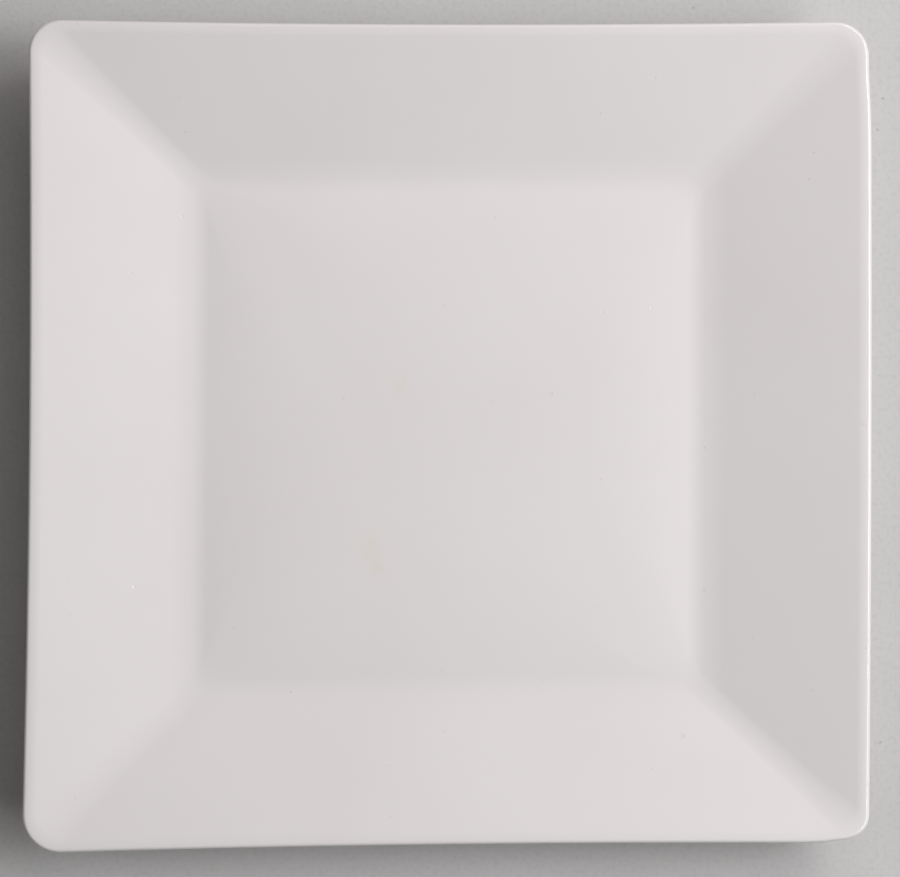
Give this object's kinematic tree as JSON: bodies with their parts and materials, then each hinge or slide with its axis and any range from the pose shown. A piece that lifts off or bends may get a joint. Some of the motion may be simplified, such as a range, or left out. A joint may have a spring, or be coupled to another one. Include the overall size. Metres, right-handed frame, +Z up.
{
  "type": "square salad plate",
  "caption": "Square glazed ceramic plate with a wide sloping rim, softly mitred corners, a square well and a foot ring, for serving salad or a small course.",
  "frame": {"origin": "middle of the plane on which the foot ring rests", "axes": "+Z up out of the well, +X to the right and +Y to the back as the plate is seen from above"},
  "size_m": [0.21, 0.2056, 0.02],
  "materials": {
    "clay": "bare fired clay, fine grained and dry",
    "glaze": "warm off-white gloss glaze with a few pinholes and faint stains"
  },
  "bodies": {
    "root": {"clay_body": "clay", "glaze_coat": "glaze", "base_glaze": "glaze"}
  },
  "joints": []
}
